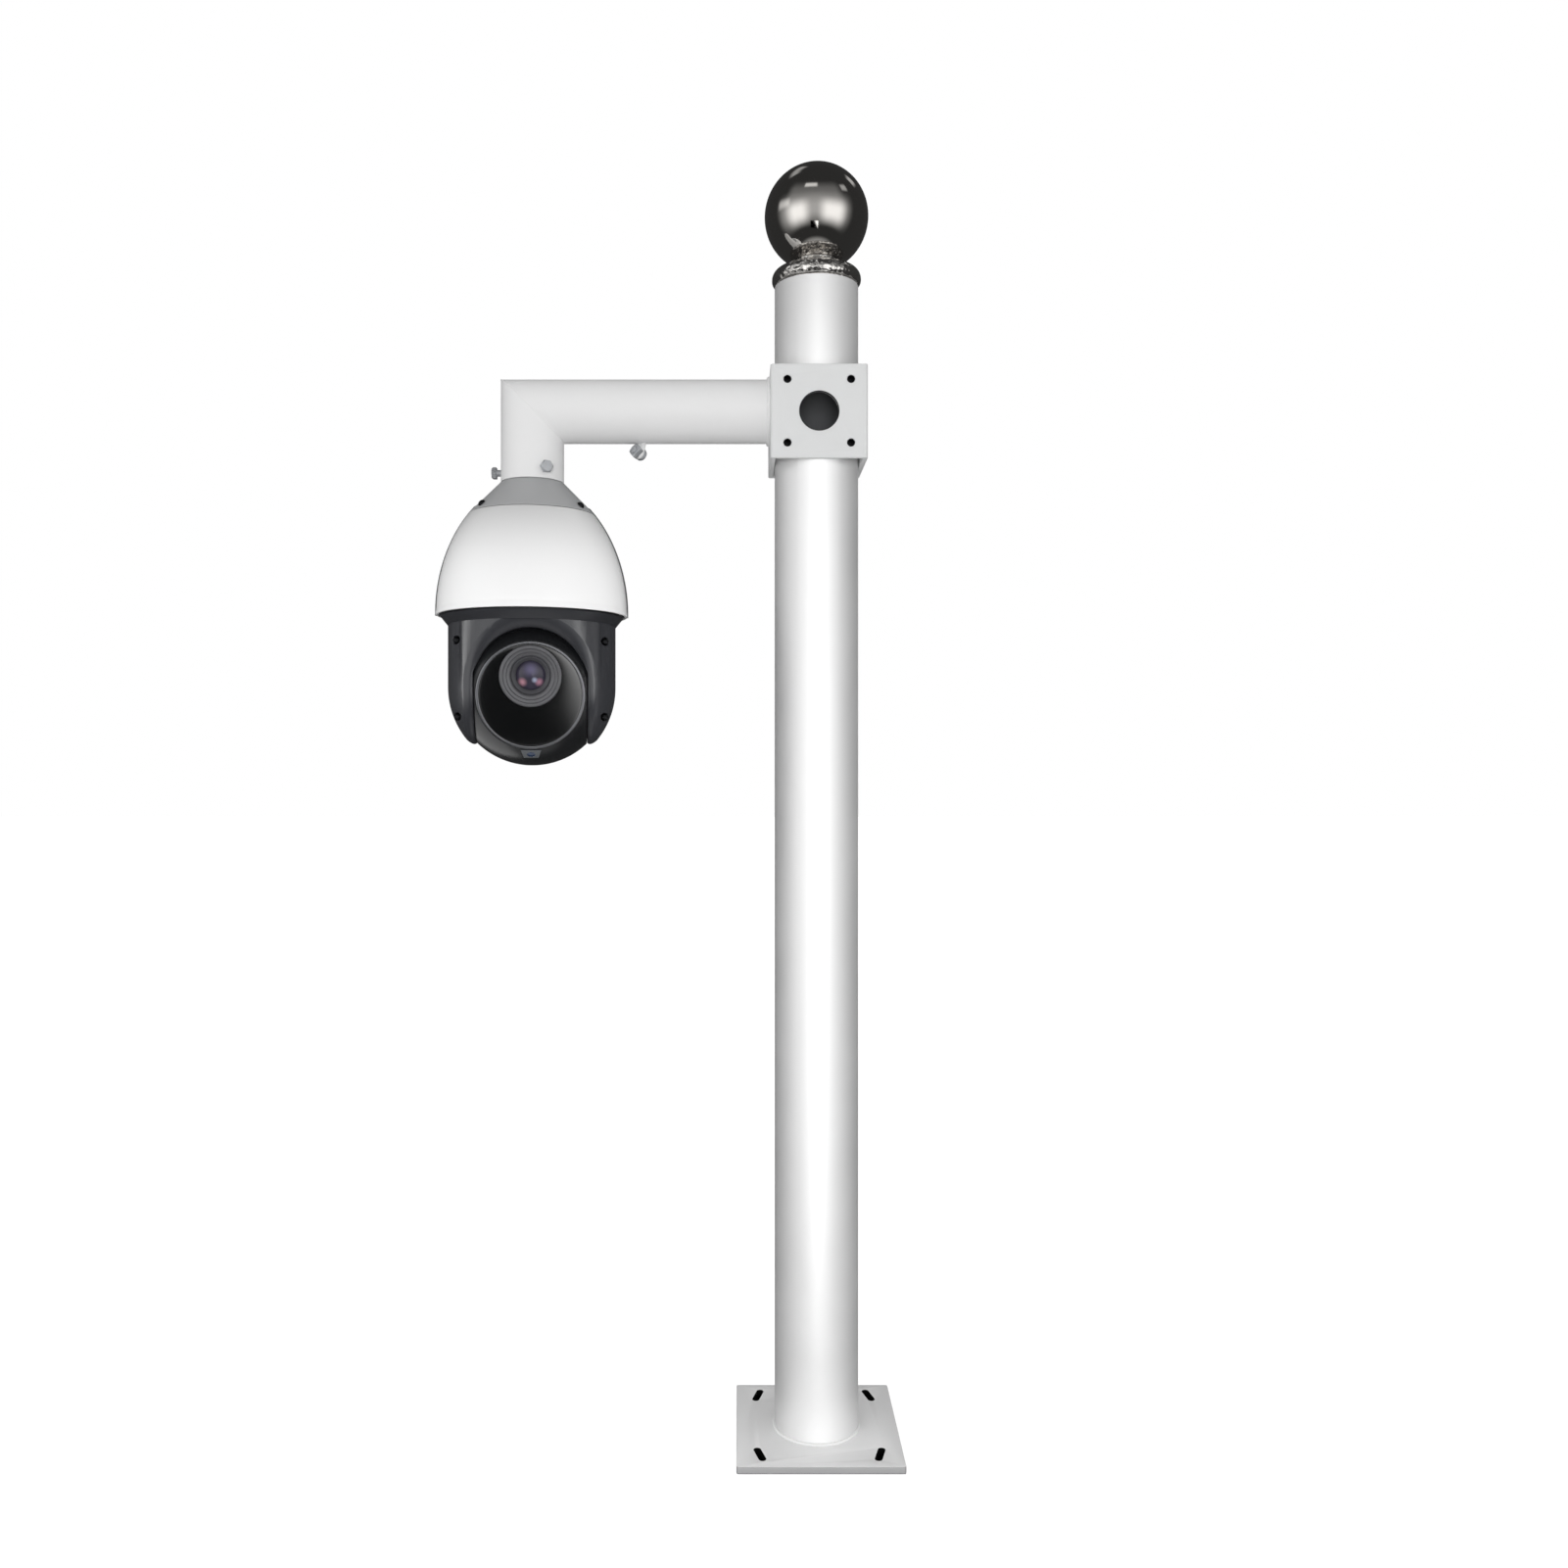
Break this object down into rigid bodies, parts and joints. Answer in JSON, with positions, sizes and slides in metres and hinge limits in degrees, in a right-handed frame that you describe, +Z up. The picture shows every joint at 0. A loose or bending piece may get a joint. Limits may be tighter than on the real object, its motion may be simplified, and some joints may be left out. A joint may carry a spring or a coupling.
{
  "type": "camera pole with arm and dome camera",
  "caption": "Short steel pole on a square foot plate with a square mounting collar and a hollow arm that carries a pan and tilt dome camera, topped by a ball",
  "frame": {"origin": "on the pole's axis at the underside of the foot plate", "axes": "+Z up the pole, -Y the front that the camera faces, +X away from the arm, which points to -X"},
  "size_m": [0.4185, 0.1722, 1.1537],
  "materials": {
    "pole_paint": "white-grey satin powder coat on steel",
    "plate_paint": "pale grey satin powder coat on steel",
    "polished_steel": "polished stainless steel",
    "zinc_steel": "zinc plated steel",
    "cast_aluminium": "machined aluminium",
    "cone_grey": "mid grey satin paint",
    "white_plastic": "white satin ASA",
    "black_gloss": "black moulded plastic, half gloss",
    "black_matte": "black matte plastic",
    "copper_winding": "varnished copper",
    "board_green": "solder resist on fibreglass",
    "dark_window": "tinted polycarbonate, polished",
    "lens_black": "grey anodised aluminium",
    "lens_coated": "coated optical glass",
    "sensor_grey": "grey plastic",
    "gasket_rubber": "black silicone"
  },
  "bodies": {
    "root": {"base_plate": "plate_paint", "pole_tube": "pole_paint", "mount_collar": "pole_paint", "arm_tube": "pole_paint", "drop_tube": "pole_paint", "earth_lug": "pole_paint", "earth_bolt": "zinc_steel", "earth_nut": "zinc_steel", "lock_screws": "zinc_steel", "finial_cap": "polished_steel", "finial_ball": "polished_steel", "finial_stud": "zinc_steel", "neck_adapter": "cast_aluminium", "neck_cone": "cone_grey", "camera_housing": "white_plastic", "front_sun_shield": "white_plastic", "rear_sun_shield": "white_plastic", "shield_screws": "zinc_steel", "pan_plate": "cast_aluminium", "pan_bearing_outer": "zinc_steel", "pan_motor_stator": "black_matte", "slip_ring": "black_matte", "main_board": "board_green", "board_posts": "zinc_steel"},
    "yoke": {"yoke_skirt": "black_matte", "yoke_front_shell": "black_gloss", "yoke_rear_shell": "black_gloss", "yoke_screws": "zinc_steel", "pan_hub": "cast_aluminium", "hub_nut": "zinc_steel", "pan_bearing_inner": "zinc_steel", "pan_motor_rotor": "copper_winding", "left_tilt_bush": "black_matte", "right_tilt_bush": "black_matte", "tilt_motor_stator": "black_matte", "encoder_board": "board_green"},
    "eye": {"eye_front_shell": "black_gloss", "eye_rear_shell": "black_gloss", "window_ring": "polished_steel", "front_window": "dark_window", "window_gasket": "gasket_rubber", "lens_barrel": "lens_black", "lens_retainer": "lens_black", "lens_glass": "lens_coated", "zoom_module": "black_matte", "module_tray": "cast_aluminium", "sensor_board": "board_green", "ir_board": "board_green", "ir_leds": "white_plastic", "light_sensor": "sensor_grey", "light_sensor_lens": "lens_coated", "left_tilt_axle": "zinc_steel", "right_tilt_axle": "zinc_steel", "tilt_motor_rotor": "copper_winding", "encoder_disc": "cast_aluminium"}
  },
  "joints": [
    {"name": "pan", "type": "hinge", "parent": "root", "child": "yoke", "pos_m": [-0.259, 0, 0.742], "axis": [0, 0, 1], "continuous": true},
    {"name": "tilt", "type": "hinge", "parent": "yoke", "child": "eye", "pos_m": [-0.259, 0, 0.677], "axis": [0.9925, 0.1219, 0], "range_deg": [-25, 80]}
  ]
}
